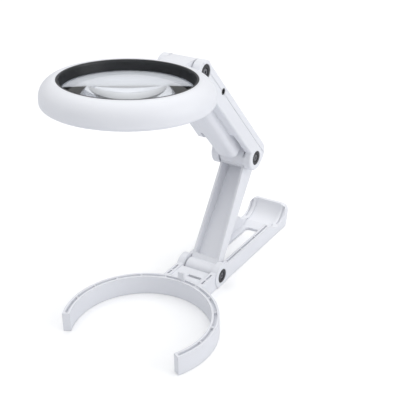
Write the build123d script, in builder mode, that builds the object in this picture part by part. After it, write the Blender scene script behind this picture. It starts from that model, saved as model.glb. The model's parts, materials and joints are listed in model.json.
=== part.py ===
from build123d import *
import os
from math import cos, sin, tan, radians, sqrt

# Folding low vision magnifier: a C-shaped table foot with twin rails, two folding arms on friction
# hinges, and a round lens head with a ring of lamps under it. Units are millimetres. X runs across
# the object, -Y is the side the reader sits on, +Y the cradle end, and Z is up. The origin is the
# middle of the object's footprint, on the table.

os.makedirs("parts", exist_ok=True)

# ---- places of the three hinges and the head, in the side view (y, z) ----
ring_y = -87.115  # centre of the foot ring
base_hinge = (ring_y + 102.0, 9.7)
lower_length = 116.44
lower_angle = 55.88  # from +Y, leaning to the rear
upper_length = 142.94
upper_angle = 128.24  # from +Y, leaning to the front
head_reach = 78.2  # hinge axis to lens axis
head_tilt = 3.74  # front edge of the head higher than the rear
folded_angle = 8.6  # slope of the lower arm when it lies between the rails

# ---- foot ring ----
ring_r_out = 68.7
ring_r_in = 61.9
ring_h = 18.2
ring_wall = 2.0
ring_floor = 15.0
ring_gap_angle = 61.5  # half of the opening at the front
first_rib_angle = 85.5
rib_step = 20.0
ribs_per_side = 5
rib_thick = 1.6

# ---- rails, floor plate and knuckles ----
rail_x_out = 21.4
rail_x_in = 15.6
rail_wall = 1.9
rail_h = 17.0
rail_floor = 14.0
plate_h = 2.5
knuckle_r = 12.0
knuckle_x_out = 22.2
window_half = 10.2
deck_h = 15.9
deck_rear_y = ring_y + 90.5
deck_slot_w = 14.0
deck_slot_l = 3.4
deck_slot_x = 5.8
deck_slot_y = ring_y + 78.6
window_rear_y = ring_y + 207.6
foot_bay_front_y = ring_y + 91.5
foot_bay_rear_y = ring_y + 117.0
latch_width = 6.0
latch_thick = 2.2
latch_top = 26.4
latch_y = ring_y + 64.4
latch_root = 12.0

# ---- rear cradle ----
trough_r = 19.4
trough_recess_r = 21.0  # between the rails
trough_slot_r = 20.8  # floor of the slots in the rails
cradle_front_y = ring_y + 199.0
cradle_rear_y = ring_y + 241.2
cradle_h = 23.0
cradle_corner_r = 7.0

# ---- hinge hardware ----
bolt_r = 2.0
bolt_clearance = 0.05
bolt_head_r = 3.3
bolt_head_h = 1.7
socket_r = 1.3
cap_r = 6.8
cap_pocket_gap = 0.15
cap_h = 2.6
cap_inset = 0.25
washer_r = 5.6
washer_h = 0.8
nut_across = 6.2

# ---- lower arm ----
foot_barrel_r = 9.0
foot_half = 14.6
channel_half_low = 14.7
channel_half_high = 12.5
channel_wall = 2.3
flange_v_low = 1.5
flange_v_high = 2.7
knuckle_r_elbow = 10.4
elbow_knuckle_half = 12.6

# ---- upper arm ----
arm_half = 21.5
ear_x_in = 13.5
elbow_ear_r = 12.2
head_ear_r = 10.2
arm_wall = 2.2
back_v0 = -17.58  # back face height at the elbow, in the arm's own side view
back_slope = 3.19  # degrees
seam_depth = 6.4  # depth of the joint line between the two shells
seam_gap = 0.35
clevis_elbow_u = 14.8
clevis_head_u = upper_length - 10.6
shell_floor = 2.8  # thickness of the back wall
groove_half = 15.3

# ---- battery bay, door, button and socket, as distances s along the back face from the elbow ----
door_s0 = 45.9
door_s1 = 104.4
door_half = 17.4
door_thick = 1.8
door_gap = 0.25
cell_r = 5.25
cell_length = 44.5
cell_pitch = 10.9
cell_depth = door_thick + 0.5 + cell_r
cell_s0 = 54.9
cell_nub_r = 1.9
cell_nub_h = 0.8
cell_s1 = cell_s0 + cell_length + cell_nub_h
spring_s0 = 50.8
contact_rib_h = 7.0
plate_thick = 0.4
button_s = 121.8
button_r = 7.5
button_gap = 0.2
button_travel = 1.5
button_proud = 0.9
button_flange_h = 1.1
button_flange_r = 8.05
switch_h = 2.4
plunger_h = 0.6
plunger_r = 1.6
flange_depth = shell_floor + 0.1  # the button's flange sits just under the shell
board_depth = flange_depth + button_flange_h + button_travel + switch_h + plunger_h + 0.2
board_thick = 1.2
board_half = 12.2
board_s0 = 105.9
board_s1 = 129.9
socket_s = 105.9
socket_depth = 5.7
dc_bore_r = 1.75
dc_bore_length = 8.0
dc_nose_r = 2.9
screw_s = (38.9, 113.4)
screw_x = 16.6
screw_r = 1.1
screw_head_r = 2.1
boss_r = 3.0

# ---- head, heights measured from the hinge axis ----
head_r = 67.5
head_top = 10.4
head_bottom = -9.1
bezel_r = 54.0
bezel_top_r = 52.4
bezel_step_r = 51.8
bezel_step_z = 8.7
view_r = 50.9
view_z = 1.9
lens_r = 53.6
lens_edge_low = -0.3
lens_edge_high = 1.7
lens_sphere_r = 195.0
lens_dome_r = 50.6
shell_inner_r = 64.9
well_r = 54.15  # wall round the lens and bezel
ledge_r = 51.8
cover_top = -6.9
cover_low = -8.3
board_low = -5.6
led_circle_r = 55.8
led_count = 8
screw_circle_r = 59.3
neck_half = 12.6
neck_r = 10.0


def side_plane(origin, angle):
    """Side view of an arm: x along the arm, y a quarter turn on, X of the object towards the eye."""
    a = radians(angle)
    return Plane(origin=(0, origin[0], origin[1]), x_dir=(0, cos(a), sin(a)), z_dir=(1, 0, 0))


def along(origin, angle, distance):
    """The (y, z) point at a distance from origin in a direction."""
    a = radians(angle)
    return (origin[0] + distance * cos(a), origin[1] + distance * sin(a))


elbow = along(base_hinge, lower_angle, lower_length)
head_hinge = along(elbow, upper_angle, upper_length)
head_centre = along(head_hinge, 180 - head_tilt, head_reach)
folded_elbow = along(base_hinge, folded_angle, lower_length)

lower_side = side_plane(base_hinge, lower_angle)
upper_side = side_plane(elbow, upper_angle)
back_start = upper_side.from_local_coords((0, back_v0, 0))
back_side = side_plane((back_start.Y, back_start.Z), upper_angle + back_slope)
head_normal = Vector(0, sin(radians(head_tilt)), cos(radians(head_tilt)))
head_plane = Plane(origin=(0, head_centre[0], head_centre[1]), x_dir=(1, 0, 0), z_dir=head_normal)
head_section = Plane(origin=head_plane.origin, x_dir=(1, 0, 0), z_dir=-head_plane.y_dir)
head_axis = Axis(head_plane.origin, head_normal)


def back_plane(s, depth):
    """Plane parallel to the upper arm's back face, facing out: x towards the head, y along X."""
    origin = back_side.from_local_coords((s, depth, 0))
    return Plane(origin=origin, x_dir=back_side.x_dir, z_dir=-back_side.y_dir)


def cross_plane(u):
    """Section across the upper arm at a distance from the elbow: x along X, y towards the back."""
    origin = upper_side.from_local_coords((u, 0, 0))
    return Plane(origin=origin, x_dir=(1, 0, 0), z_dir=upper_side.x_dir)


def x_plane(point, x):
    """Plane square to X at x, with its origin on the hinge axis through a (y, z) point."""
    return Plane(origin=(x, point[0], point[1]), x_dir=(0, 1, 0), z_dir=(1, 0, 0))


def keep(part, name):
    part.label = name
    export_step(part, f"parts/{name}.step")


# ======================= hinge hardware, the same at all three hinges =======================


def make_hinge(name, centre, outer_x, inner_x):
    """Bolt, nut, two black caps and two friction washers of a hinge whose ears span inner_x to outer_x."""
    cap_face = outer_x - cap_inset
    cap_back = cap_face - cap_h
    head_x = cap_face - 0.2
    under_head = head_x - bolt_head_h
    nut_x = -(cap_face - 0.2)

    with BuildPart() as bolt:
        with BuildSketch(x_plane(centre, under_head)):
            Circle(bolt_head_r)
        extrude(amount=bolt_head_h)
        fillet(bolt.edges().filter_by(GeomType.CIRCLE).sort_by(Axis.X)[-1], 0.8)
        with BuildSketch(x_plane(centre, nut_x + 0.4)):
            Circle(bolt_r)
        extrude(amount=under_head - nut_x - 0.4)
        with BuildSketch(x_plane(centre, head_x)):
            RegularPolygon(socket_r, 6)
        extrude(amount=-1.0, mode=Mode.SUBTRACT)
    keep(bolt.part, f"{name}_pivot_bolt")

    with BuildPart() as nut:
        with BuildSketch(x_plane(centre, nut_x)):
            RegularPolygon(nut_across / 2, 6, major_radius=False)
            Circle(bolt_r, mode=Mode.SUBTRACT)
        extrude(amount=bolt_head_h)
    keep(nut.part, f"{name}_pivot_nut")

    with BuildPart() as caps:
        for side in (1, -1):
            with BuildSketch(x_plane(centre, side * cap_back)):
                Circle(cap_r)
                Circle(bolt_r + bolt_clearance, mode=Mode.SUBTRACT)
            extrude(amount=side * cap_h)
            with BuildSketch(x_plane(centre, side * cap_face)):
                Circle(bolt_head_r + nut_across * 0.06)
            extrude(amount=-side * (bolt_head_h + 0.2), mode=Mode.SUBTRACT)
        outer_rims = caps.edges().filter_by(GeomType.CIRCLE).filter_by(lambda e: e.radius > cap_r - 0.1)
        fillet([outer_rims.sort_by(Axis.X)[0], outer_rims.sort_by(Axis.X)[-1]], 0.5)
    keep(caps.part, f"{name}_hinge_caps")

    with BuildPart() as washers:
        for side in (1, -1):
            with BuildSketch(x_plane(centre, side * inner_x)):
                Circle(washer_r)
                Circle(bolt_r + bolt_clearance, mode=Mode.SUBTRACT)
            extrude(amount=-side * washer_h)
    keep(washers.part, f"{name}_hinge_washers")


def cut_bolt_hole(centre):
    """Bolt hole right through the current part."""
    with BuildSketch(x_plane(centre, 0)) as hole:
        Circle(bolt_r + bolt_clearance)
    extrude(hole.sketch, amount=arm_half + 1, both=True, mode=Mode.SUBTRACT)


def cut_hinge_seat(centre, outer_x):
    """Cap pocket in both outer faces and the bolt hole right through, cut in the current part."""
    for side in (1, -1):
        with BuildSketch(x_plane(centre, side * (outer_x - cap_inset - cap_h))) as pocket:
            Circle(cap_r + cap_pocket_gap)
        extrude(pocket.sketch, amount=side * (cap_h + 2.0), mode=Mode.SUBTRACT)
    cut_bolt_hole(centre)


# ======================= base frame =======================

ring_point = (0, ring_y)
slot_x = (rail_x_in + rail_x_out) / 2
slot_w = rail_x_out - rail_x_in - 2 * rail_wall


def front_wedge(half_angle):
    """Triangle from the ring's centre over its open front, wide enough to cover the ring."""
    reach = 2.2 * ring_r_out
    a = radians(half_angle)
    pts = [
        (0, ring_y),
        (reach * sin(a), ring_y - reach * cos(a)),
        (0, ring_y - 3 * reach),
        (-reach * sin(a), ring_y - reach * cos(a)),
    ]
    Polygon(*pts, align=None, mode=Mode.SUBTRACT)


with BuildPart() as cradle:
    with BuildSketch(Plane.YZ) as cradle_side:
        with BuildLine():
            Polyline(
                (cradle_front_y, 0),
                (cradle_rear_y - 6.8, 0),
                (cradle_rear_y - 3.4, 7.0),
                (cradle_rear_y, cradle_h),
                (cradle_front_y, cradle_h),
                (cradle_front_y, 0),
            )
        make_face()
        fillet(cradle_side.vertices().group_by(Axis.Y)[0].sort_by(Axis.X)[-1], 4.0)
    extrude(amount=rail_x_out, both=True)
    # rounded shoulders of the rear wall
    top_side_edges = cradle.edges().filter_by(Axis.Y).group_by(Axis.Z)[-1]
    fillet(top_side_edges, cradle_corner_r)
    # trough for the folded elbow, across the whole width
    with BuildSketch(x_plane(folded_elbow, 0)):
        Circle(trough_r)
    extrude(amount=rail_x_out + 1, both=True, mode=Mode.SUBTRACT)
    with BuildSketch(x_plane(folded_elbow, 0)):
        Circle(trough_recess_r)
    extrude(amount=rail_x_in - 1.5, both=True, mode=Mode.SUBTRACT)
    # nothing stands above the rails in front of the trough
    with BuildSketch(Plane.XY.offset(rail_h)):
        with Locations(((0, (cradle_front_y + folded_elbow[0]) / 2))):
            Rectangle(2 * rail_x_out + 2, folded_elbow[0] - cradle_front_y)
    extrude(amount=cradle_h, mode=Mode.SUBTRACT)
    # between the rails the floor runs down to the plate
    with BuildSketch(Plane.YZ):
        with BuildLine():
            Polyline(
                (cradle_front_y - 1, plate_h),
                (window_rear_y + 1.5, plate_h),
                (folded_elbow[0], folded_elbow[1] - trough_recess_r),
                (folded_elbow[0], cradle_h),
                (cradle_front_y - 1, cradle_h),
                (cradle_front_y - 1, plate_h),
            )
        make_face()
    extrude(amount=rail_x_in, both=True, mode=Mode.SUBTRACT)
    # underside pocket
    with BuildSketch(Plane.XY):
        with Locations((0, cradle_rear_y - 17.0)):
            RectangleRounded(2 * rail_x_in, 15.0, 2.0)
    extrude(amount=3.4, mode=Mode.SUBTRACT)
    # slots of the rails carried up the rear wall
    for side in (1, -1):
        with BuildSketch(x_plane(folded_elbow, side * slot_x)):
            Circle(trough_slot_r)
            Circle(trough_r - 0.5, mode=Mode.SUBTRACT)
            with Locations((-27.0, 0)):
                Rectangle(60.0, 60.0, mode=Mode.SUBTRACT)
            with Locations((0, 24.0)):
                Rectangle(60.0, 60.0, mode=Mode.SUBTRACT)
        extrude(amount=slot_w / 2, both=True, mode=Mode.SUBTRACT)

with BuildPart() as base_frame:
    # foot ring with an open channel and cross ribs
    with BuildSketch():
        with Locations(ring_point):
            Circle(ring_r_out)
            Circle(ring_r_in, mode=Mode.SUBTRACT)
        front_wedge(ring_gap_angle)
    extrude(amount=ring_h)
    with BuildSketch(Plane.XY.offset(ring_floor)):
        with Locations(ring_point):
            Circle(ring_r_out - ring_wall)
            Circle(ring_r_in + ring_wall, mode=Mode.SUBTRACT)
        front_wedge(ring_gap_angle + 1.9)
    extrude(amount=ring_h, mode=Mode.SUBTRACT)
    rib_r = (ring_r_in + ring_r_out) / 2
    for side in (1, -1):
        for n in range(ribs_per_side):
            angle = -90 + side * (first_rib_angle + n * rib_step)
            with BuildSketch(Plane.XY.offset(ring_floor)):
                with Locations(ring_point):
                    with PolarLocations(rib_r, 1, start_angle=angle):
                        Rectangle(ring_r_out - ring_r_in - ring_wall, rib_thick)
            extrude(amount=ring_h - ring_floor - 0.4)
    # solid rails, hinge knuckles and floor plate
    with BuildSketch():
        for side in (1, -1):
            with Locations((side * slot_x, (ring_y + 60 + cradle_front_y + 0.5) / 2)):
                Rectangle(rail_x_out - rail_x_in, cradle_front_y + 0.5 - ring_y - 60)
        with Locations(ring_point):
            Circle(rib_r, mode=Mode.SUBTRACT)
    extrude(amount=rail_h)
    with BuildSketch():
        with Locations((0, (ring_y + 60 + cradle_front_y + 6) / 2)):
            Rectangle(2 * rail_x_in + 1, cradle_front_y + 6 - ring_y - 60)
        with Locations(ring_point):
            Circle(rib_r, mode=Mode.SUBTRACT)
    extrude(amount=plate_h)
    for side in (1, -1):
        with BuildSketch(x_plane(base_hinge, side * rail_x_in)):
            Circle(knuckle_r)
            with Locations((0, -base_hinge[1] - 10)):
                Rectangle(60, 20, mode=Mode.SUBTRACT)
        extrude(amount=side * (knuckle_x_out - rail_x_in))
    add(cradle.part)
    # deck that ties the ring to the rails in front of the hinge, with a narrow slot
    with BuildSketch():
        with Locations((0, (ring_y + 60 + deck_rear_y) / 2)):
            Rectangle(2 * rail_x_in + 1, deck_rear_y - ring_y - 60)
        with Locations(ring_point):
            Circle(ring_r_out - 0.5, mode=Mode.SUBTRACT)
        with Locations((deck_slot_x, deck_slot_y)):
            Rectangle(deck_slot_w, deck_slot_l, mode=Mode.SUBTRACT)
    extrude(amount=deck_h)
    # the latch tab, with a small hook at its top
    with BuildSketch(Plane.YZ):
        with BuildLine():
            Polyline(
                (latch_y, latch_root),
                (latch_y, latch_top),
                (latch_y + latch_thick * 0.6, latch_top),
                (latch_y + latch_thick + 1.0, latch_top - 1.8),
                (latch_y + latch_thick, latch_top - 2.4),
                (latch_y + latch_thick, latch_root),
                (latch_y, latch_root),
            )
        make_face()
    extrude(amount=latch_width / 2, both=True)
    # slots in the rails, with ribs left between them
    slot_spans = [(70.5, 77.0), (78.6, 88.0), (116.0, 143.0), (144.6, 171.0), (172.6, 197.6)]
    for side in (1, -1):
        for y0, y1 in slot_spans:
            with BuildSketch(Plane.XY.offset(rail_floor)):
                with Locations((side * slot_x, ring_y + (y0 + y1) / 2)):
                    Rectangle(slot_w, y1 - y0)
            extrude(amount=rail_h, mode=Mode.SUBTRACT)
    # window through the plate, and the bay under the arm's foot
    with BuildSketch():
        with Locations((0, (foot_bay_front_y + foot_bay_rear_y) / 2)):
            Rectangle(2 * rail_x_in, foot_bay_rear_y - foot_bay_front_y)
        with Locations((0, (foot_bay_front_y + window_rear_y) / 2)):
            RectangleRounded(2 * window_half, window_rear_y - foot_bay_front_y, 3.5)
    extrude(amount=plate_h + 1, mode=Mode.SUBTRACT)
    cut_hinge_seat(base_hinge, knuckle_x_out)
keep(base_frame.part, "base_frame")

make_hinge("base", base_hinge, knuckle_x_out, rail_x_in)

# ======================= lower arm =======================

channel_top_u = lower_length - 7.5
lower_back = [(6.0, -8.1), (108.0, -17.4)]  # back face in the side view
lower_web = [(12.0, -5.3), (106.0, -13.1)]  # channel floor in the side view


def channel_outline(half_low, half_high, u0, u1):
    """Tapered outline of the lower arm seen from the front, drawn about the arm's axis."""
    Polygon((u0, -half_low), (u1, -half_high), (u1, half_high), (u0, half_low), align=None)


front_view = Plane(
    origin=lower_side.origin,
    x_dir=lower_side.x_dir,
    z_dir=lower_side.y_dir,
)

with BuildPart() as lower_arm:
    with BuildSketch(lower_side) as lower_profile:
        with BuildLine():
            Polyline(
                (0, flange_v_low),
                (lower_length, flange_v_high),
                (lower_length, -knuckle_r_elbow),
                lower_back[1],
                lower_back[0],
                (0, -6.0),
                (0, flange_v_low),
            )
        make_face()
        fillet(lower_profile.vertices().sort_by(Axis.Y)[0], 5.0)
    extrude(amount=channel_half_low, both=True)
    with BuildSketch(front_view):
        channel_outline(channel_half_low, channel_half_high, -2.0, lower_length + 2.0)
    extrude(amount=30, both=True, mode=Mode.INTERSECT)
    with BuildSketch(lower_side):
        Circle(foot_barrel_r)
    extrude(amount=foot_half, both=True)
    with BuildSketch(lower_side):
        with Locations((lower_length, 0)):
            Circle(knuckle_r_elbow)
    extrude(amount=elbow_knuckle_half, both=True)
    # the channel, open to the front
    with BuildPart(mode=Mode.PRIVATE) as channel:
        with BuildSketch(lower_side):
            with BuildLine():
                Polyline(
                    (14.0, flange_v_high + 1),
                    (channel_top_u - 4.0, flange_v_high + 1),
                    (channel_top_u - 4.0, lower_web[1][1] + 2.0),
                    lower_web[1],
                    (14.0, lower_web[0][1]),
                    (14.0, flange_v_high + 1),
                )
            make_face()
        extrude(amount=channel_half_low, both=True)
        with BuildSketch(front_view):
            channel_outline(
                channel_half_low - channel_wall, channel_half_high - channel_wall, -2.0, lower_length + 2.0
            )
        extrude(amount=30, both=True, mode=Mode.INTERSECT)
    add(channel.part, mode=Mode.SUBTRACT)
    cut_bolt_hole(base_hinge)
    cut_bolt_hole(elbow)
keep(lower_arm.part, "lower_arm")

# ======================= upper arm =======================


def back_v(u):
    """Height of the back face in the arm's side view."""
    return back_v0 + u * tan(radians(back_slope))


def under_v(u):
    """Height of the side walls' lower edge in the arm's side view."""
    return 2.03 + 0.0536 * u


with BuildPart() as arm_body:
    with BuildSketch(upper_side) as arm_profile:
        with BuildLine():
            Polyline(
                (-13.2, back_v(-13.2)),
                (upper_length, back_v(upper_length)),
                (upper_length, under_v(upper_length)),
                (0, under_v(0)),
                (-elbow_ear_r, 0),
                (-13.2, back_v(-13.2)),
            )
        make_face()
        fillet(arm_profile.vertices().sort_by(Axis.Y)[0], 12.0)
        Circle(elbow_ear_r)
        with Locations((upper_length, 0)):
            Circle(head_ear_r)
    extrude(amount=arm_half, both=True)
    side_rims = arm_body.faces().filter_by(Axis.X).edges()
    chamfer(side_rims, 0.9)

seam_plane = back_plane(0, seam_depth)
back_half = split(arm_body.part, bisect_by=seam_plane, keep=Keep.TOP)
front_half = split(arm_body.part, bisect_by=seam_plane, keep=Keep.BOTTOM)


def cut_clevis():
    """Room between the ears for the lower arm's knuckle and the neck, cut in the current part."""
    with BuildSketch(upper_side) as gaps:
        with Locations((clevis_elbow_u - 20, 0)):
            Rectangle(40, 60)
        with Locations((clevis_head_u + 20, 0)):
            Rectangle(40, 60)
    extrude(gaps.sketch, amount=ear_x_in, both=True, mode=Mode.SUBTRACT)


def cut_socket_hole():
    """Round hole in the +X side for the power socket's nose, cut in the current part."""
    with BuildSketch(back_side.offset(arm_half + 1)) as hole:
        with Locations((socket_s, socket_depth)):
            Circle(dc_nose_r + 0.1)
    extrude(hole.sketch, amount=-6.0, mode=Mode.SUBTRACT)


screw_places = [(s, x) for s in screw_s for x in (screw_x, -screw_x)]

with BuildPart() as arm_back_shell:
    add(back_half)
    with BuildSketch(back_side):
        with Locations(((clevis_elbow_u + clevis_head_u) / 2, (shell_floor + 20) / 2)):
            Rectangle(clevis_head_u - clevis_elbow_u - 4.2, 20 - shell_floor)
    extrude(amount=arm_half - arm_wall, both=True, mode=Mode.SUBTRACT)
    with BuildSketch(back_plane(0, seam_depth)):
        with Locations(*screw_places):
            Circle(boss_r)
    extrude(amount=seam_depth - shell_floor + 0.2)
    cut_clevis()
    # door opening with a ledge all round
    with BuildSketch(back_plane(0, door_thick + 0.05)):
        with Locations(((door_s0 + door_s1) / 2, 0)):
            RectangleRounded(door_s1 - door_s0, 2 * door_half, 2.0)
    extrude(amount=5, mode=Mode.SUBTRACT)
    with BuildSketch(back_plane(0, -1)):
        with Locations(((door_s0 + door_s1) / 2, 0)):
            RectangleRounded(door_s1 - door_s0 - 2.4, 2 * door_half - 2.2, 1.5)
    extrude(amount=-6, mode=Mode.SUBTRACT)
    # button hole
    with BuildSketch(back_plane(0, -1)):
        with Locations((button_s, 0)):
            Circle(button_r + button_gap)
    extrude(amount=-8, mode=Mode.SUBTRACT)
    # screw holes with seats for the heads
    with BuildSketch(back_plane(0, -1)):
        with Locations(*screw_places):
            Circle(screw_r + 0.15)
    extrude(amount=-12, mode=Mode.SUBTRACT)
    with BuildSketch(back_plane(0, -1)):
        with Locations(*screw_places):
            Circle(screw_head_r + 0.15)
    extrude(amount=-2.9, mode=Mode.SUBTRACT)
    cut_socket_hole()
    cut_hinge_seat(head_hinge, arm_half)
    cut_hinge_seat(elbow, arm_half)
keep(arm_back_shell.part, "arm_back_shell")

bulge_u0 = clevis_elbow_u + 2.0
bulge_u1 = 127.8


def bulge_loft(shrink, u0, u1):
    """Rounded, slightly tapered body of the bulge; shrink insets its walls."""
    for u, half, top in ((u0, 10.6, 14.0), (u1, 12.6, 18.0)):
        height = top - shrink + 4.0
        with BuildSketch(cross_plane(u)) as section:
            with Locations((0, -(top - shrink - height / 2))):
                RectangleRounded(2 * (half - shrink), height, 6.5 - shrink / 2)
        yield section.sketch


with BuildPart() as bulge:
    loft(sections=list(bulge_loft(0, bulge_u0 - 1.0, bulge_u1 + 1.0)))
    with BuildSketch(upper_side) as bulge_side:
        with BuildLine():
            Polyline(
                (bulge_u0, -2.0),
                (bulge_u0, 15.0),
                (bulge_u1, 19.0),
                (bulge_u1, -2.0),
                (bulge_u0, -2.0),
            )
        make_face()
        fillet(bulge_side.vertices().group_by(Axis.Y)[-1], 7.0)
        fillet(bulge_side.vertices().filter_by(lambda v: v.Y > 14.5 and v.X < 22), 5.0)
    extrude(amount=20, both=True, mode=Mode.INTERSECT)

with BuildPart() as arm_front_shell:
    add(front_half)
    # raised grip along the left edge
    with BuildSketch(upper_side.offset(-arm_half + 0.9)):
        with BuildLine():
            Polyline((38.3, 1.5), (39.6, 9.4), (42.8, 11.0), (118.8, 12.6), (122.8, 2.0), (38.3, 1.5))
        make_face()
    extrude(amount=10.0)
    # grooves that take the lower arm's flanges when folded
    with BuildSketch(upper_side):
        with BuildLine():
            Polyline((9.8, -4.0), (44.8, 1.7), (50.8, 11.4), (9.8, 19.0), (9.8, -4.0))
        make_face()
    extrude(amount=groove_half, both=True, mode=Mode.SUBTRACT)
    add(bulge.part)
    # inside of the shell, then inside of the bulge
    with BuildSketch(upper_side):
        with BuildLine():
            Polyline(
                (bulge_u0 + 0.2, -14.0),
                (bulge_u0 + 0.2, -5.2),
                (61.8, 2.0),
                (clevis_head_u - 2.1, 6.2),
                (clevis_head_u - 2.1, -14.0),
                (bulge_u0 + 0.2, -14.0),
            )
        make_face()
    extrude(amount=arm_half - arm_wall, both=True, mode=Mode.SUBTRACT)
    with BuildPart(mode=Mode.PRIVATE) as bulge_hollow:
        loft(sections=list(bulge_loft(2.0, bulge_u0 + 3.0, bulge_u1 - 2.5)))
        with BuildSketch(upper_side):
            with Locations(((bulge_u0 + bulge_u1) / 2 + 1.5, 5.0)):
                Rectangle(bulge_u1 - bulge_u0 - 12.0, 22.0)
        extrude(amount=20, both=True, mode=Mode.INTERSECT)
    add(bulge_hollow.part, mode=Mode.SUBTRACT)
    # cross ribs that hold the battery contacts
    for s in (spring_s0 - plate_thick - rib_thick / 2 - 0.2, cell_s1 + plate_thick + rib_thick / 2 + 0.2):
        with BuildSketch(back_side):
            with Locations((s, seam_depth + contact_rib_h / 2)):
                Rectangle(rib_thick, contact_rib_h)
        extrude(amount=arm_half - arm_wall + 0.3, both=True)
    # screw bosses
    with BuildSketch(back_plane(0, seam_depth)):
        with Locations(*screw_places):
            Circle(boss_r)
    extrude(amount=-5.6)
    with BuildSketch(back_plane(0, seam_depth - 1)):
        with Locations(*screw_places):
            Circle(screw_r)
    extrude(amount=-6.0, mode=Mode.SUBTRACT)
    # joint line along both sides
    for side in (1, -1):
        with BuildSketch(back_side.offset(side * (arm_half - 0.4))):
            with Locations((upper_length / 2, seam_depth + seam_gap / 2)):
                Rectangle(2 * upper_length, seam_gap)
        extrude(amount=side * 2.0, mode=Mode.SUBTRACT)
    cut_clevis()
    cut_socket_hole()
    cut_hinge_seat(head_hinge, arm_half)
    cut_hinge_seat(elbow, arm_half)
keep(arm_front_shell.part, "arm_front_shell")

with BuildPart() as battery_door:
    with BuildSketch(back_plane(0, door_thick)):
        with Locations(((door_s0 + door_s1) / 2, 0)):
            RectangleRounded(door_s1 - door_s0 - 2 * door_gap, 2 * (door_half - door_gap), 1.8)
    extrude(amount=door_thick)
    # finger notch at the head end
    with BuildSketch(back_plane(0, -1)):
        with Locations((door_s1 - 6.0, 0)):
            SlotOverall(13.0, 4.0, rotation=90)
    extrude(amount=-1.8, mode=Mode.SUBTRACT)
keep(battery_door.part, "battery_door")


def cell_plane(s, n):
    """Plane square to a battery's axis at s; n is -1, 0 or 1 across the bay."""
    origin = back_side.from_local_coords((s, cell_depth, n * cell_pitch))
    return Plane(origin=origin, x_dir=(1, 0, 0), z_dir=back_side.x_dir)


with BuildPart() as battery_cells:
    for n in (-1, 0, 1):
        with BuildSketch(cell_plane(cell_s0, n)):
            Circle(cell_r)
        extrude(amount=cell_length)
        with BuildSketch(cell_plane(cell_s0 + cell_length, n)):
            Circle(cell_nub_r)
        extrude(amount=cell_nub_h)
keep(battery_cells.part, "battery_cells")

with BuildPart() as battery_springs:
    for n in (-1, 0, 1):
        start = cell_plane(spring_s0, n)
        for turn in range(4):
            with BuildSketch(start.offset(turn * 1.02)):
                Circle(3.6 - 0.35 * turn)
                Circle(2.9 - 0.35 * turn, mode=Mode.SUBTRACT)
            extrude(amount=0.6)
        for turn in range(3):
            with BuildSketch(start.offset(turn * 1.02 + 0.5)):
                with Locations((3.05 - 0.35 * turn, 0)):
                    Circle(0.3)
            extrude(amount=0.62)
keep(battery_springs.part, "battery_springs")

with BuildPart() as battery_plates:
    for s in (spring_s0 - plate_thick, cell_s1):
        with BuildSketch(back_side):
            with Locations((s + plate_thick / 2, 7.6)):
                Rectangle(plate_thick, 8.6)
        extrude(amount=16.0, both=True)
keep(battery_plates.part, "battery_plates")

with BuildPart() as switch_board:
    with BuildSketch(back_plane(0, board_depth)):
        with Locations(((board_s0 + board_s1) / 2, 0)):
            Rectangle(board_s1 - board_s0, 2 * board_half)
    extrude(amount=-board_thick)
keep(switch_board.part, "switch_board")

with BuildPart() as switch_body:
    with BuildSketch(back_plane(0, board_depth)):
        with Locations((button_s, 0)):
            RectangleRounded(6.0, 6.0, 0.4)
    extrude(amount=switch_h)
    with BuildSketch(back_plane(0, board_depth - switch_h)):
        with Locations((button_s, 0)):
            Circle(plunger_r)
    extrude(amount=plunger_h)
keep(switch_body.part, "switch_body")

with BuildPart() as power_button:
    with BuildSketch(back_plane(0, flange_depth)):
        with Locations((button_s, 0)):
            Circle(button_r)
    extrude(amount=flange_depth + button_proud)
    fillet(power_button.faces().sort_by(Axis(power_button.part.center(), -back_side.y_dir))[-1].edges(), 0.6)
    with BuildSketch(back_plane(0, flange_depth)):
        with Locations((button_s, 0)):
            Circle(button_flange_r)
    extrude(amount=-button_flange_h)
keep(power_button.part, "power_button")

with BuildPart() as dc_socket:
    with BuildSketch(back_side.offset(arm_half - 0.4)):
        with Locations((socket_s, socket_depth)):
            Circle(dc_nose_r)
    extrude(amount=-3.0)
    with BuildSketch(back_side.offset(arm_half - arm_wall - 0.1)):
        with Locations((socket_s, socket_depth)):
            Rectangle(5.8, 5.8)
    extrude(amount=-8.0)
    with BuildSketch(back_side.offset(arm_half - 0.4)):
        with Locations((socket_s, socket_depth)):
            Circle(dc_bore_r)
            Circle(0.5, mode=Mode.SUBTRACT)
    extrude(amount=-dc_bore_length, mode=Mode.SUBTRACT)
keep(dc_socket.part, "dc_socket")

with BuildPart() as arm_screws:
    with BuildSketch(back_plane(0, 1.85)):
        with Locations(*screw_places):
            Circle(screw_head_r)
    extrude(amount=1.2)
    with BuildSketch(back_plane(0, 1.85)):
        with Locations(*screw_places):
            Circle(screw_r)
    extrude(amount=-9.0)
    with BuildSketch(back_plane(0, 0.65)):
        with Locations(*screw_places):
            Rectangle(2.4, 0.5)
            Rectangle(0.5, 2.4)
    extrude(amount=-0.7, mode=Mode.SUBTRACT)
keep(arm_screws.part, "arm_screws")

make_hinge("elbow", elbow, arm_half, ear_x_in)
make_hinge("head", head_hinge, arm_half, ear_x_in)

# ======================= lens head =======================

head_side = Plane(origin=head_plane.origin, x_dir=head_plane.y_dir, z_dir=(1, 0, 0))


def head_level(z):
    """Plane square to the lens axis at a height from the hinge axis; its y points to the neck."""
    return head_plane.offset(z)


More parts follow.
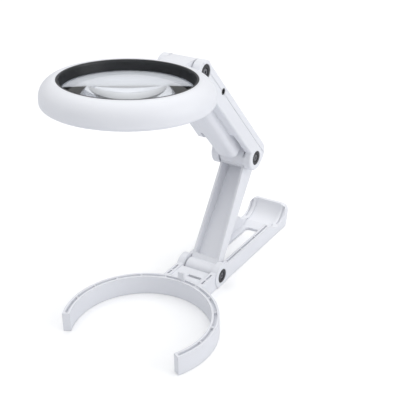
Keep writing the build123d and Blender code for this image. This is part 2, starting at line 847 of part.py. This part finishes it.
with BuildPart() as head_shell:
    with BuildSketch(head_section):
        with BuildLine():
            Polyline((well_r, head_top), (56.6, head_top))
            ThreePointArc((56.6, head_top), (64.6, 5.6), (head_r, -3.0))
            Polyline((head_r, -3.0), (head_r, -5.6))
            ThreePointArc((head_r, -5.6), (66.9, -7.9), (65.2, head_bottom))
            Polyline((65.2, head_bottom), (shell_inner_r, head_bottom), (shell_inner_r, -2.5))
            ThreePointArc((shell_inner_r, -2.5), (62.4, 4.1), (56.6, 8.2))
            Polyline(
                (56.6, 8.2),
                (56.2, 8.2),
                (56.2, -2.6),
                (ledge_r, -2.6),
                (ledge_r, lens_edge_low - 0.1),
                (well_r, lens_edge_low - 0.1),
                (well_r, head_top),
            )
        make_face()
    revolve(axis=head_axis)
    # screw posts
    with BuildSketch(head_level(cover_top + 0.05)):
        with PolarLocations(screw_circle_r, 4, start_angle=45):
            Circle(2.6)
    extrude(amount=13.6)
    # neck and hinge barrel
    with BuildSketch(head_side):
        with BuildLine():
            Polyline(
                (59.5, 8.6),
                (68.0, 9.5),
                (head_reach, neck_r),
                (head_reach, -neck_r),
                (66.4, -8.6),
                (66.4, -2.5),
                (64.6, 3.2),
                (59.5, 7.6),
                (59.5, 8.6),
            )
        make_face()
        with Locations((head_reach, 0)):
            Circle(neck_r)
    extrude(amount=neck_half, both=True)
    cut_bolt_hole(head_hinge)
    with BuildSketch(head_level(cover_top)):
        with PolarLocations(screw_circle_r, 4, start_angle=45):
            Circle(screw_r)
    extrude(amount=9.0, mode=Mode.SUBTRACT)
    # slot for the latch tab of the foot
    with BuildSketch(head_level(head_bottom - 1)):
        with Locations((0, 64.4)):
            Rectangle(8.0, 4.0)
    extrude(amount=7.5, mode=Mode.SUBTRACT)
keep(head_shell.part, "head_shell")

with BuildPart() as lens_bezel:
    with BuildSketch(head_section):
        with BuildLine():
            Polyline(
                (bezel_r, head_top - 0.1),
                (bezel_top_r, head_top - 0.1),
                (bezel_step_r, bezel_step_z),
                (view_r, view_z),
                (bezel_r, view_z),
                (bezel_r, head_top - 0.1),
            )
        make_face()
    revolve(axis=head_axis)
keep(lens_bezel.part, "lens_bezel")

dome = lens_sphere_r - sqrt(lens_sphere_r**2 - lens_dome_r**2)
half_dome = lens_sphere_r - sqrt(lens_sphere_r**2 - (lens_dome_r / 2) ** 2)

with BuildPart() as main_lens:
    with BuildSketch(head_section):
        with BuildLine():
            ThreePointArc(
                (0, lens_edge_high + dome),
                (lens_dome_r / 2, lens_edge_high + dome - half_dome),
                (lens_dome_r, lens_edge_high),
            )
            Polyline(
                (lens_dome_r, lens_edge_high),
                (lens_r, lens_edge_high),
                (lens_r, lens_edge_low),
                (lens_dome_r, lens_edge_low),
            )
            ThreePointArc(
                (lens_dome_r, lens_edge_low),
                (lens_dome_r / 2, lens_edge_low - dome + half_dome),
                (0, lens_edge_low - dome),
            )
            Line((0, lens_edge_low - dome), (0, lens_edge_high + dome))
        make_face()
    revolve(axis=head_axis)
keep(main_lens.part, "main_lens")

with BuildPart() as head_cover:
    with BuildSketch(head_level(cover_low)):
        Circle(shell_inner_r - 0.2)
        Circle(50.8, mode=Mode.SUBTRACT)
    extrude(amount=cover_top - cover_low)
    with BuildSketch(head_level(cover_top)):
        Circle(52.2)
        Circle(50.8, mode=Mode.SUBTRACT)
    extrude(amount=4.2)
    with BuildSketch(head_level(cover_low - 1)):
        with PolarLocations(led_circle_r, led_count, start_angle=90 + 22.5):
            Circle(3.2)
        with PolarLocations(screw_circle_r, 4, start_angle=45):
            Circle(screw_r + 0.15)
        with Locations((0, 65.4)):
            Rectangle(8.4, 6.4)
    extrude(amount=4.0, mode=Mode.SUBTRACT)
    with BuildSketch(head_level(cover_low - 0.3)):
        with PolarLocations(screw_circle_r, 4, start_angle=45):
            Circle(screw_head_r + 0.15)
    extrude(amount=1.0, mode=Mode.SUBTRACT)
keep(head_cover.part, "head_cover")

with BuildPart() as led_board:
    with BuildSketch(head_level(board_low)):
        Circle(64.0)
        Circle(52.6, mode=Mode.SUBTRACT)
        with PolarLocations(screw_circle_r, 4, start_angle=45):
            Circle(2.9, mode=Mode.SUBTRACT)
        with Locations((0, 66.0)):
            Rectangle(11.0, 8.4, mode=Mode.SUBTRACT)
    extrude(amount=board_thick)
keep(led_board.part, "led_board")

with BuildPart() as leds:
    with BuildSketch(head_level(board_low - 1.3)):
        with PolarLocations(led_circle_r, led_count, start_angle=90 + 22.5):
            RectangleRounded(3.5, 3.5, 0.3)
    extrude(amount=1.3)
keep(leds.part, "leds")

with BuildPart() as head_screws:
    with BuildSketch(head_level(cover_low + 0.7)):
        with PolarLocations(screw_circle_r, 4, start_angle=45):
            Circle(screw_r)
    extrude(amount=8.0)
    with BuildSketch(head_level(cover_low + 0.7)):
        with PolarLocations(screw_circle_r, 4, start_angle=45):
            Circle(screw_head_r)
    extrude(amount=-0.7)
    with BuildSketch(head_level(cover_low)):
        with PolarLocations(screw_circle_r, 4, start_angle=45):
            Rectangle(2.4, 0.5)
            Rectangle(0.5, 2.4)
    extrude(amount=0.4, mode=Mode.SUBTRACT)
keep(head_screws.part, "head_screws")
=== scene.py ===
import bmesh
import bpy
import json
import math
from mathutils import Matrix, Vector


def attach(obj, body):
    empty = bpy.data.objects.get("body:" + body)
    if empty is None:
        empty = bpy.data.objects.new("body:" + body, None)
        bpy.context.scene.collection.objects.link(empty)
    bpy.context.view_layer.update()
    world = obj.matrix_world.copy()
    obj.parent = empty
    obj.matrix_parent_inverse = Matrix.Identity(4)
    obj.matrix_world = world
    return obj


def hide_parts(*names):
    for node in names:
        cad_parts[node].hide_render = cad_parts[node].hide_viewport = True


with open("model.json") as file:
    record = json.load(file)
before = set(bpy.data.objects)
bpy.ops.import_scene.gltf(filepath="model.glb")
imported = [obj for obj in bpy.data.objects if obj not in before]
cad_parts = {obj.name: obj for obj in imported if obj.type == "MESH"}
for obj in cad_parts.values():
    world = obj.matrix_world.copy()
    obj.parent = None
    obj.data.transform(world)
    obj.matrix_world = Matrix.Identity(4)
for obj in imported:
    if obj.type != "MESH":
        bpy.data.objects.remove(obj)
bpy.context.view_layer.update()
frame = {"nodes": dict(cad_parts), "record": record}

nodes = frame["nodes"]
joints = {joint["name"]: joint for joint in frame["record"]["behaviour"]["joints"]}
mm = 0.001

print("stage: frame loaded,", len(nodes), "nodes")

# camera, light and floor

camera = {
    "place": (0.38156, -0.587555, 0.45597),
    "right": (0.8484294, 0.52905469, -0.01639183),
    "up": (-0.23198805, 0.39951111, 0.88688918),
    "lens": 78.78,
    "sensorWidth": 36.0,
    "clipStart": 0.01,
}


def setCamera():
    right = Vector(camera["right"]).normalized()
    up = Vector(camera["up"]).normalized()
    back = right.cross(up).normalized()
    turn = Matrix((right, up, back)).transposed().to_4x4()
    data = bpy.data.cameras.new("camera")
    data.lens = camera["lens"]
    data.sensor_width = camera["sensorWidth"]
    data.clip_start = camera["clipStart"]
    thing = bpy.data.objects.new("camera", data)
    bpy.context.scene.collection.objects.link(thing)
    thing.matrix_world = Matrix.Translation(camera["place"]) @ turn
    bpy.context.scene.camera = thing


light = {
    "sky": (0.985, 0.99, 1.0),
    "skyLow": 0.25,  # at the horizon
    "skyHigh": 1.24,  # overhead
    # name, place, aim, size, watts
    "lamps": (
        ("topSoftbox", (-0.25, 0.45, 1.7), (0.0, 0.0, 0.1), 2.0, 5.0),
        ("sideFill", (1.5, 0.35, 0.6), (0.0, 0.0, 0.12), 1.2, 7.0),
        ("lowFill", (0.35, -1.3, 0.1), (0.0, 0.0, 0.14), 0.9, 1.0),
    ),
    "floorTone": (1.0, 1.0, 1.0),
    "floorHalf": 60.0,
    "floorDrop": -0.0002,
    "floorRoughness": 0.9,
    "lensShare": 0.2,
    "floorBounce": (0.76, 0.77, 0.8),
    "floorGlow": 0.05,  # keeps the seen floor white while it throws little light up
}


def setLights():
    world = bpy.data.worlds.new("studio")
    world.use_nodes = True
    sky = world.node_tree.nodes["Background"]
    sky.inputs["Color"].default_value = (*light["sky"], 1.0)
    place = world.node_tree.nodes.new("ShaderNodeTexCoord")
    parts = world.node_tree.nodes.new("ShaderNodeSeparateXYZ")
    rise = world.node_tree.nodes.new("ShaderNodeMapRange")
    rise.inputs["To Min"].default_value = light["skyLow"]
    rise.inputs["To Max"].default_value = light["skyHigh"]
    world.node_tree.links.new(place.outputs["Generated"], parts.inputs["Vector"])
    world.node_tree.links.new(parts.outputs["Z"], rise.inputs["Value"])
    world.node_tree.links.new(rise.outputs["Result"], sky.inputs["Strength"])
    bpy.context.scene.world = world
    for name, place, aim, size, watts in light["lamps"]:
        data = bpy.data.lights.new(name, "AREA")
        data.shape = "DISK"
        data.size = size
        data.energy = watts
        lamp = bpy.data.objects.new(name, data)
        lamp.location = place
        lamp.rotation_euler = (Vector(aim) - Vector(place)).to_track_quat("-Z", "Y").to_euler()
        bpy.context.scene.collection.objects.link(lamp)


def newMaterial(name):
    material = bpy.data.materials.new(name)
    material.use_nodes = True
    tree = material.node_tree
    return material, tree, tree.nodes["Principled BSDF"]


def meshObject(name, work):
    mesh = bpy.data.meshes.new(name)
    work.to_mesh(mesh)
    work.free()
    thing = bpy.data.objects.new(name, mesh)
    bpy.context.scene.collection.objects.link(thing)
    return thing


def setFloor():
    work = bmesh.new()
    bmesh.ops.create_grid(work, x_segments=1, y_segments=1, size=light["floorHalf"])
    floor = meshObject("floor", work)
    floor.location.z = light["floorDrop"]
    material, tree, shader = newMaterial("paleFloor")
    shader.inputs["Roughness"].default_value = light["floorRoughness"]
    ray = tree.nodes.new("ShaderNodeLightPath")
    tone = tree.nodes.new("ShaderNodeMix")
    tone.data_type = "RGBA"
    tone.inputs["A"].default_value = (*light["floorBounce"], 1.0)
    tone.inputs["B"].default_value = (*light["floorTone"], 1.0)
    glow = tree.nodes.new("ShaderNodeMath")
    glow.operation = "MULTIPLY"
    glow.inputs[1].default_value = light["floorGlow"]
    shader.inputs["Emission Color"].default_value = (1.0, 1.0, 1.0, 1.0)
    through = tree.nodes.new("ShaderNodeMath")  # seen through the lens
    through.operation = "MULTIPLY"
    through.inputs[1].default_value = light["lensShare"]
    seen = tree.nodes.new("ShaderNodeMath")
    seen.operation = "MAXIMUM"
    tree.links.new(ray.outputs["Is Transmission Ray"], through.inputs[0])
    tree.links.new(ray.outputs["Is Camera Ray"], seen.inputs[0])
    tree.links.new(through.outputs["Value"], seen.inputs[1])
    tree.links.new(seen.outputs["Value"], tone.inputs["Factor"])
    tree.links.new(ray.outputs["Is Camera Ray"], glow.inputs[0])
    tree.links.new(tone.outputs["Result"], shader.inputs["Base Color"])
    tree.links.new(glow.outputs["Value"], shader.inputs["Emission Strength"])
    floor.data.materials.append(material)


setCamera()
setLights()
setFloor()
bpy.context.scene.view_settings.view_transform = "Standard"
print("stage: camera, light and floor")

# shared shader groups


def newGroup(name, inputs, outputs):
    group = bpy.data.node_groups.new(name, "ShaderNodeTree")
    for label, kind, value in inputs:
        socket = group.interface.new_socket(label, in_out="INPUT", socket_type=kind)
        if value is not None:
            socket.default_value = value
    for label, kind in outputs:
        group.interface.new_socket(label, in_out="OUTPUT", socket_type=kind)
    return group, group.nodes.new("NodeGroupInput"), group.nodes.new("NodeGroupOutput")


grainShape = {
    "detail": 3.0,
    "roughness": 0.6,
    "bumpDistance": 0.00012,
    "flowScale": 38.0,
    "flowDetail": 4.0,
    "flowLow": 0.3,
    "flowHigh": 0.7,
    "rubScale": 210.0,
    "rubDetail": 5.0,
    "rubDistortion": 1.6,
    "rubLow": 0.6,
    "rubHigh": 0.74,
    "rubShine": 0.09,
}


def mouldGrainGroup():
    # fine spark texture of moulded plastic, with edges softened
    group, into, out = newGroup(
        "mouldGrain",
        (
            ("Grain Size", "NodeSocketFloat", 2600.0),
            ("Grain Depth", "NodeSocketFloat", 0.12),
            ("Edge Radius", "NodeSocketFloat", 0.0006),
            ("Tone Light", "NodeSocketColor", (1, 1, 1, 1)),
            ("Tone Dark", "NodeSocketColor", (0.9, 0.9, 0.9, 1)),
            ("Rough Low", "NodeSocketFloat", 0.3),
            ("Rough High", "NodeSocketFloat", 0.4),
        ),
        (("Color", "NodeSocketColor"), ("Roughness", "NodeSocketFloat"), ("Normal", "NodeSocketVector")),
    )
    add, link = group.nodes.new, group.links.new
    place = add("ShaderNodeTexCoord")
    rub = add("ShaderNodeTexNoise")  # handling wear, long and thin
    rub.inputs["Scale"].default_value = grainShape["rubScale"]
    rub.inputs["Detail"].default_value = grainShape["rubDetail"]
    rub.inputs["Distortion"].default_value = grainShape["rubDistortion"]
    link(place.outputs["Object"], rub.inputs["Vector"])
    worn = add("ShaderNodeMapRange")
    worn.inputs["From Min"].default_value = grainShape["rubLow"]
    worn.inputs["From Max"].default_value = grainShape["rubHigh"]
    link(rub.outputs["Fac"], worn.inputs["Value"])
    rubbed = add("ShaderNodeMath")
    rubbed.operation = "MULTIPLY_ADD"
    rubbed.inputs[1].default_value = grainShape["rubShine"]
    link(worn.outputs["Result"], rubbed.inputs[0])
    grain = add("ShaderNodeTexNoise")
    grain.inputs["Detail"].default_value = grainShape["detail"]
    grain.inputs["Roughness"].default_value = grainShape["roughness"]
    link(place.outputs["Object"], grain.inputs["Vector"])
    link(into.outputs["Grain Size"], grain.inputs["Scale"])
    flow = add("ShaderNodeTexNoise")
    flow.inputs["Scale"].default_value = grainShape["flowScale"]
    flow.inputs["Detail"].default_value = grainShape["flowDetail"]
    link(place.outputs["Object"], flow.inputs["Vector"])
    smooth = add("ShaderNodeBevel")
    smooth.samples = 6
    link(into.outputs["Edge Radius"], smooth.inputs["Radius"])
    bump = add("ShaderNodeBump")
    bump.inputs["Distance"].default_value = grainShape["bumpDistance"]
    link(into.outputs["Grain Depth"], bump.inputs["Strength"])
    link(grain.outputs["Fac"], bump.inputs["Height"])
    link(smooth.outputs["Normal"], bump.inputs["Normal"])
    link(bump.outputs["Normal"], out.inputs["Normal"])
    tone = add("ShaderNodeMix")
    tone.data_type = "RGBA"
    link(flow.outputs["Fac"], tone.inputs["Factor"])
    link(into.outputs["Tone Dark"], tone.inputs["A"])
    link(into.outputs["Tone Light"], tone.inputs["B"])
    link(tone.outputs["Result"], out.inputs["Color"])
    rough = add("ShaderNodeMapRange")
    link(flow.outputs["Fac"], rough.inputs["Value"])
    rough.inputs["From Min"].default_value = grainShape["flowLow"]
    rough.inputs["From Max"].default_value = grainShape["flowHigh"]
    link(into.outputs["Rough Low"], rough.inputs["To Min"])
    link(into.outputs["Rough High"], rough.inputs["To Max"])
    link(rough.outputs["Result"], rubbed.inputs[2])
    link(rubbed.outputs["Value"], out.inputs["Roughness"])
    return group


mouldGrain = mouldGrainGroup()


def mouldedPlastic(name, lightTone, darkTone, roughness, grainSize, grainDepth, edge):
    material, tree, shader = newMaterial(name)
    grain = tree.nodes.new("ShaderNodeGroup")
    grain.node_tree = mouldGrain
    grain.inputs["Grain Size"].default_value = grainSize
    grain.inputs["Grain Depth"].default_value = grainDepth
    grain.inputs["Edge Radius"].default_value = edge
    grain.inputs["Tone Light"].default_value = (*lightTone, 1.0)
    grain.inputs["Tone Dark"].default_value = (*darkTone, 1.0)
    grain.inputs["Rough Low"].default_value = roughness - 0.04
    grain.inputs["Rough High"].default_value = roughness + 0.06
    tree.links.new(grain.outputs["Color"], shader.inputs["Base Color"])
    tree.links.new(grain.outputs["Roughness"], shader.inputs["Roughness"])
    tree.links.new(grain.outputs["Normal"], shader.inputs["Normal"])
    return material, tree, shader


def whiteShell():
    return mouldedPlastic(
        "whiteShell", (0.83, 0.84, 0.875), (0.79, 0.8, 0.84), 0.36, 2600.0, 0.1, 0.0007
    )[0]


def blackTrim():
    return mouldedPlastic(
        "blackTrim", (0.016, 0.016, 0.018), (0.01, 0.01, 0.012), 0.38, 3200.0, 0.1, 0.0003
    )[0]


def bezelBlack():
    return mouldedPlastic(
        "bezelBlack", (0.022, 0.024, 0.028), (0.014, 0.016, 0.019), 0.42, 3000.0, 0.12, 0.0003
    )[0]


def clearLens():
    material, tree, shader = newMaterial("clearLens")
    shader.inputs["Base Color"].default_value = (0.93, 0.955, 0.99, 1.0)
    shader.inputs["Transmission Weight"].default_value = 1.0
    shader.inputs["IOR"].default_value = 1.49
    smears = tree.nodes.new("ShaderNodeTexNoise")
    smears.inputs["Scale"].default_value = 55.0
    spread = tree.nodes.new("ShaderNodeMapRange")
    spread.inputs["To Min"].default_value = 0.0
    spread.inputs["To Max"].default_value = 0.012
    place = tree.nodes.new("ShaderNodeTexCoord")
    tree.links.new(place.outputs["Object"], smears.inputs["Vector"])
    tree.links.new(smears.outputs["Fac"], spread.inputs["Value"])
    tree.links.new(spread.outputs["Result"], shader.inputs["Roughness"])
    return material


def turnedSteel(name, tone, roughness):
    material, tree, shader = newMaterial(name)
    shader.inputs["Metallic"].default_value = 1.0
    place = tree.nodes.new("ShaderNodeTexCoord")
    wear = tree.nodes.new("ShaderNodeTexNoise")
    wear.inputs["Scale"].default_value = 900.0
    ramp = tree.nodes.new("ShaderNodeMapRange")
    ramp.inputs["To Min"].default_value = roughness - 0.07
    ramp.inputs["To Max"].default_value = roughness + 0.1
    shade = tree.nodes.new("ShaderNodeMix")
    shade.data_type = "RGBA"
    shade.inputs["A"].default_value = (*[t * 0.8 for t in tone], 1.0)
    shade.inputs["B"].default_value = (*tone, 1.0)
    tree.links.new(place.outputs["Object"], wear.inputs["Vector"])
    tree.links.new(wear.outputs["Fac"], ramp.inputs["Value"])
    tree.links.new(wear.outputs["Fac"], shade.inputs["Factor"])
    tree.links.new(shade.outputs["Result"], shader.inputs["Base Color"])
    tree.links.new(ramp.outputs["Result"], shader.inputs["Roughness"])
    return material


finishes = {
    "white_shell": whiteShell(),
    "black_trim": blackTrim(),
    "bezel_black": bezelBlack(),
    "clear_lens": clearLens(),
    "bolt_steel": turnedSteel("boltSteel", (0.22, 0.22, 0.235), 0.38),
    "spring_steel": turnedSteel("springSteel", (0.72, 0.72, 0.73), 0.2),
    "washer_nylon": mouldedPlastic(
        "washerNylon", (0.05, 0.05, 0.055), (0.035, 0.035, 0.04), 0.5, 2400.0, 0.1, 0.0002
    )[0],
    "cell_jacket": mouldedPlastic(
        "cellJacket", (0.1, 0.13, 0.2), (0.07, 0.09, 0.15), 0.25, 900.0, 0.04, 0.0004
    )[0],
    "circuit_board": mouldedPlastic(
        "circuitBoard", (0.78, 0.8, 0.76), (0.7, 0.73, 0.68), 0.32, 1500.0, 0.08, 0.0002
    )[0],
    "led_yellow": mouldedPlastic(
        "ledYellow", (0.92, 0.83, 0.36), (0.88, 0.76, 0.28), 0.2, 1500.0, 0.03, 0.0002
    )[0],
    "button_grey": mouldedPlastic(
        "buttonGrey", (0.07, 0.07, 0.075), (0.035, 0.035, 0.04), 0.5, 1800.0, 0.3, 0.0004
    )[0],
}
print("stage: materials")

slotOf = {part["node"]: part["material_slot"] for part in frame["record"]["subparts"]}
for name, thing in nodes.items():
    finish = finishes[slotOf[name]]
    if thing.data.materials:
        for index in range(len(thing.data.materials)):
            thing.material_slots[index].material = finish
    else:
        thing.data.materials.append(finish)

print("stage: finishes on the CAD pieces")

# places of the head and the battery bay


def hingeAt(name):
    return Vector(joints[name]["pos_m"])


def placeFrom(origin, xAxis, yAxis, zAxis):
    return Matrix.Translation(origin) @ Matrix((xAxis, yAxis, zAxis)).transposed().to_4x4()


headPlace = {"reach": 78.2 * mm, "tilt": math.radians(3.74)}
bayPlace = {"armAngle": math.radians(128.24), "backSlope": math.radians(3.19), "backStart": -17.58 * mm}


def headFrame():
    # z is the lens axis, y points to the neck
    tilt = headPlace["tilt"]
    toNeck = Vector((0, math.cos(tilt), -math.sin(tilt)))
    return placeFrom(
        hingeAt("head_tilt") - toNeck * headPlace["reach"],
        Vector((1, 0, 0)),
        toNeck,
        Vector((0, math.sin(tilt), math.cos(tilt))),
    )


def bayFrame():
    # x across, y deeper into the arm, z along the back face from the elbow
    arm = bayPlace["armAngle"]
    back = arm + bayPlace["backSlope"]
    start = hingeAt("elbow_fold") + Vector((0, -math.sin(arm), math.cos(arm))) * bayPlace["backStart"]
    return placeFrom(
        start,
        Vector((1, 0, 0)),
        Vector((0, -math.sin(back), math.cos(back))),
        Vector((0, math.cos(back), math.sin(back))),
    )


head = headFrame()
bay = bayFrame()


def outline(work, points):
    # a chain of vertices in the xz plane, given in mm
    chain = [work.verts.new((x * mm, 0.0, z * mm)) for x, z in points]
    for first, second in zip(chain, chain[1:]):
        work.edges.new((first, second))
    return chain


def lathe(work, steps):
    bmesh.ops.spin(
        work,
        geom=work.verts[:] + work.edges[:],
        cent=(0, 0, 0),
        axis=(0, 0, 1),
        angle=2 * math.pi,
        steps=steps,
        use_merge=True,
    )
    bmesh.ops.remove_doubles(work, verts=work.verts[:], dist=0.002 * mm)
    bmesh.ops.recalc_face_normals(work, faces=work.faces[:])


def copyInto(work, other, place):
    # adds the other bmesh at a place and frees it
    bmesh.ops.transform(other, matrix=place, verts=other.verts[:])
    step = bpy.data.meshes.new("step")
    other.to_mesh(step)
    other.free()
    work.from_mesh(step)
    bpy.data.meshes.remove(step)


def finishPiece(name, work, finish, body, node, smoothAngle=35.0):
    piece = meshObject(name, work)
    piece.data.materials.append(finish)
    piece.data.shade_smooth()
    piece.data.set_sharp_from_angle(angle=math.radians(smoothAngle))
    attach(piece, body)
    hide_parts(node)
    return piece


# magnifying lens

lensShape = {
    "rimRadius": 53.6,
    "domeRadius": 50.6,
    "sphereRadius": 195.0,
    "edgeLow": -0.3,
    "edgeHigh": 1.7,
    "rimRound": 0.25,
    "arcSteps": 28,
    "steps": 160,
}


def makeLens():
    shape = lensShape
    radius, dome = shape["sphereRadius"], shape["domeRadius"]
    sag = radius - math.sqrt(radius**2 - dome**2)
    work = bmesh.new()

    def surface(top, side):
        # height of one face of the lens at the steps from the axis to the dome's edge
        points = []
        for step in range(shape["arcSteps"] + 1):
            r = dome * step / shape["arcSteps"]
            points.append((r, top - side * (radius - math.sqrt(radius**2 - r**2))))
        return points

    upper = surface(shape["edgeHigh"] + sag, 1)
    lower = surface(shape["edgeLow"] - sag, -1)
    rim, soft = shape["rimRadius"], shape["rimRound"]
    edge = [
        (rim - soft, shape["edgeHigh"]),
        (rim, shape["edgeHigh"] - soft),
        (rim, shape["edgeLow"] + soft),
        (rim - soft, shape["edgeLow"]),
    ]
    outline(work, upper + edge + lower[::-1])
    lathe(work, shape["steps"])
    bmesh.ops.transform(work, matrix=head, verts=work.verts[:])
    finishPiece(
        "magnifyingLens", work, finishes["clear_lens"], "lens_head", "main_lens", 20.0
    )


makeLens()
print("stage: lens")

# lamps of the light ring

lampShape = {
    "ringRadius": 55.8,
    "count": 8,
    "firstAngle": 112.5,
    "half": 1.75,
    "low": -6.9,
    "high": -5.6,
    "cornerRound": 0.3,
    "rimWidth": 0.35,
    "wellSlope": 0.12,
    "wellDepth": 0.3,
    "gelRadius": 1.15,
    "gelHigh": 0.28,
    "gelDrop": 0.36,
}


def makeLamps():
    shape = lampShape
    work = bmesh.new()
    for index in range(shape["count"]):
        angle = math.radians(shape["firstAngle"] + index * 360 / shape["count"])
        lamp = bmesh.new()
        bmesh.ops.create_cube(lamp, size=1.0)
        wide = 2 * shape["half"] * mm
        bmesh.ops.scale(lamp, vec=(wide, wide, (shape["high"] - shape["low"]) * mm), verts=lamp.verts[:])
        upright = [e for e in lamp.edges if abs(e.verts[0].co.z - e.verts[1].co.z) > 0.5 * mm]
        bmesh.ops.bevel(
            lamp,
            geom=upright,
            offset=shape["cornerRound"] * mm,
            affect="EDGES",
            segments=3,
            profile=0.5,
            material=-1,
        )
        bottom = min(lamp.faces, key=lambda face: face.calc_center_median().z)
        bmesh.ops.inset_individual(lamp, faces=[bottom], thickness=shape["rimWidth"] * mm, depth=0.0)
        slope, depth = shape["wellSlope"] * mm, shape["wellDepth"] * mm
        bmesh.ops.inset_individual(lamp, faces=[bottom], thickness=slope, depth=-depth)
        gel = bmesh.new()  # shallow gel dome in the lamp's well
        bmesh.ops.create_uvsphere(gel, u_segments=20, v_segments=10, radius=1.0)
        wideGel = shape["gelRadius"] * mm
        bmesh.ops.scale(gel, vec=(wideGel, wideGel, shape["gelHigh"] * mm), verts=gel.verts[:])
        copyInto(lamp, gel, Matrix.Translation((0, 0, -shape["gelDrop"] * mm)))
        middle = (shape["low"] + shape["high"]) / 2 * mm
        place = (
            Matrix.Rotation(angle, 4, "Z")
            @ Matrix.Translation((shape["ringRadius"] * mm, 0, middle))
        )
        copyInto(work, lamp, head @ place)
    finishPiece("ringLamps", work, finishes["led_yellow"], "lens_head", "leds")


makeLamps()
print("stage: lamps")

# cells, and the springs that press them

cellShape = {
    "start": 54.9,
    "length": 44.5,
    "pitch": 10.9,
    "depth": 7.55,
    "radius": 5.25,
    "nubRadius": 1.9,
    "nubHigh": 0.8,
    "steps": 48,
}


def makeCells():
    shape = cellShape
    r, length = shape["radius"], shape["length"]
    profile = [
        (0, 0.15), (3.1, 0.15), (3.4, 0.0), (4.6, 0.0), (r - 0.25, 0.2), (r, 0.6), (r, 1.1),
        (r - 0.22, 1.35), (r - 0.22, 1.6), (r, 1.85),
        (r, length - 1.4), (r - 0.25, length - 0.7), (r - 0.9, length - 0.35), (3.5, length - 0.35),
        (3.1, length - 0.6), (2.4, length - 0.6), (shape["nubRadius"], length - 0.3),
        (shape["nubRadius"], length + shape["nubHigh"] - 0.25),
        (shape["nubRadius"] - 0.3, length + shape["nubHigh"]),
        (0, length + shape["nubHigh"]),
    ]
    work = bmesh.new()
    for column in (-1, 0, 1):
        cell = bmesh.new()
        outline(cell, profile)
        lathe(cell, shape["steps"])
        place = Matrix.Translation(
            (column * shape["pitch"] * mm, shape["depth"] * mm, shape["start"] * mm)
        )
        copyInto(work, cell, bay @ place)
    finishPiece(
        "drivingCells", work, finishes["cell_jacket"], "upper_link", "battery_cells", 28.0
    )


springShape = {
    "start": 50.8,
    "turns": 4.0,
    "pitch": 0.98,
    "coilRadius": 3.3,
    "wire": 0.3,
    "taper": 0.26,
    "turnSteps": 40,
    "endRoom": 0.08,
}


def makeSprings():
    shape = springShape
    work = bmesh.new()
    for column in (-1, 0, 1):
        coil = bmesh.new()
        wire = bmesh.ops.create_circle(coil, segments=10, radius=shape["wire"] * mm)["verts"]
        start = Matrix.Translation((shape["coilRadius"] * mm, 0, shape["wire"] * mm))
        upright = start @ Matrix.Rotation(math.pi / 2, 4, "X")
        bmesh.ops.transform(coil, matrix=upright, verts=wire)
        steps = int(shape["turns"] * shape["turnSteps"])
        rise = (shape["pitch"] * shape["turns"] - 2 * shape["wire"] + shape["endRoom"]) * mm / steps
        bmesh.ops.spin(
            coil,
            geom=coil.verts[:] + coil.edges[:],
            cent=(0, 0, 0),
            axis=(0, 0, 1),
            dvec=(0, 0, rise),
            angle=2 * math.pi * shape["turns"],
            steps=steps,
        )
        bmesh.ops.holes_fill(coil, edges=[e for e in coil.edges if e.is_boundary], sides=10)
        tall = shape["pitch"] * shape["turns"] * mm
        for vertex in coil.verts:
            narrow = 1 - shape["taper"] * vertex.co.z / tall
            vertex.co.x *= narrow
            vertex.co.y *= narrow
        bmesh.ops.recalc_face_normals(coil, faces=coil.faces[:])
        place = Matrix.Translation(
            (column * cellShape["pitch"] * mm, cellShape["depth"] * mm, shape["start"] * mm)
        )
        copyInto(work, coil, bay @ place)
    finishPiece(
        "cellSprings", work, finishes["spring_steel"], "upper_link", "battery_springs", 50.0
    )


makeCells()
makeSprings()
print("stage: cells and springs")
